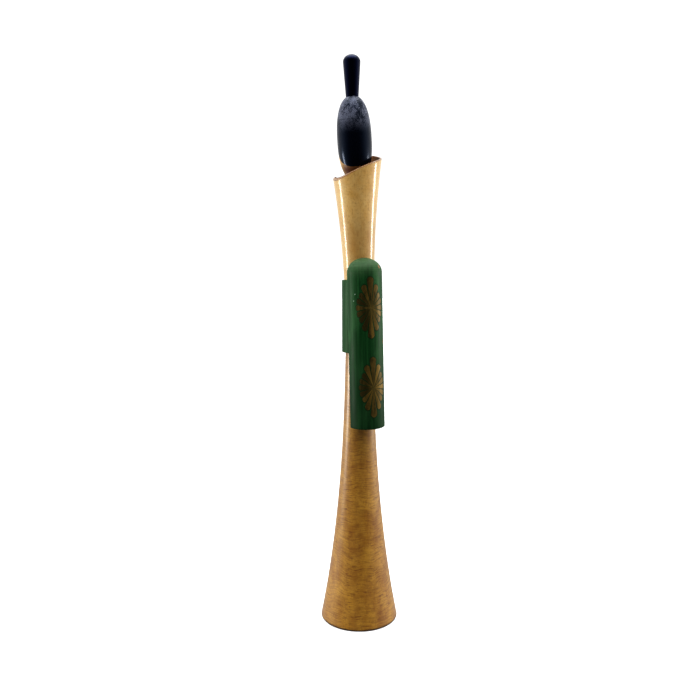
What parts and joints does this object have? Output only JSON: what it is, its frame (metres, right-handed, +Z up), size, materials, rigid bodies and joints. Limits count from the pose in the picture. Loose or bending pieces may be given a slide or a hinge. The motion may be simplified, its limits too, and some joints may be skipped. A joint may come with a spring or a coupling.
{
  "type": "kokeshi doll",
  "caption": "Tall slender turned wooden doll: flared skirt, slanted hollow collar, egg-shaped head with a topknot that turns on a neck peg, green obi band and long half-round drop.",
  "frame": {"origin": "centre of the foot's underside, on the surface that the doll stands on", "axes": "+Z up along the skirt's axis, -Y the way that the doll faces, +X the doll's left side"},
  "size_m": [0.05, 0.05, 0.3594],
  "materials": {
    "lacquered_wood": "pale figured wood turned smooth, under a clear satin lacquer",
    "bare_wood": "bare turned wood, hidden in the joints",
    "green_paint": "wood under thin semi-matt green paint, with chrysanthemums in dull gold paint",
    "painted_head": "wood with satin black painted hair, and a bare lacquered face and neck",
    "black_paint": "wood under gloss black paint"
  },
  "bodies": {
    "body": {"lower_body": "lacquered_wood", "waist_dowel": "bare_wood", "obi_band": "green_paint", "obi_drop": "green_paint", "drop_pegs": "bare_wood", "upper_body": "lacquered_wood"},
    "head": {"head": "painted_head", "neck_peg": "bare_wood", "topknot": "black_paint"}
  },
  "joints": [
    {"name": "head_turn", "type": "hinge", "parent": "body", "child": "head", "pos_m": [0.0023, 0, 0.29], "axis": [0.0593, 0, 0.9982], "continuous": true}
  ]
}
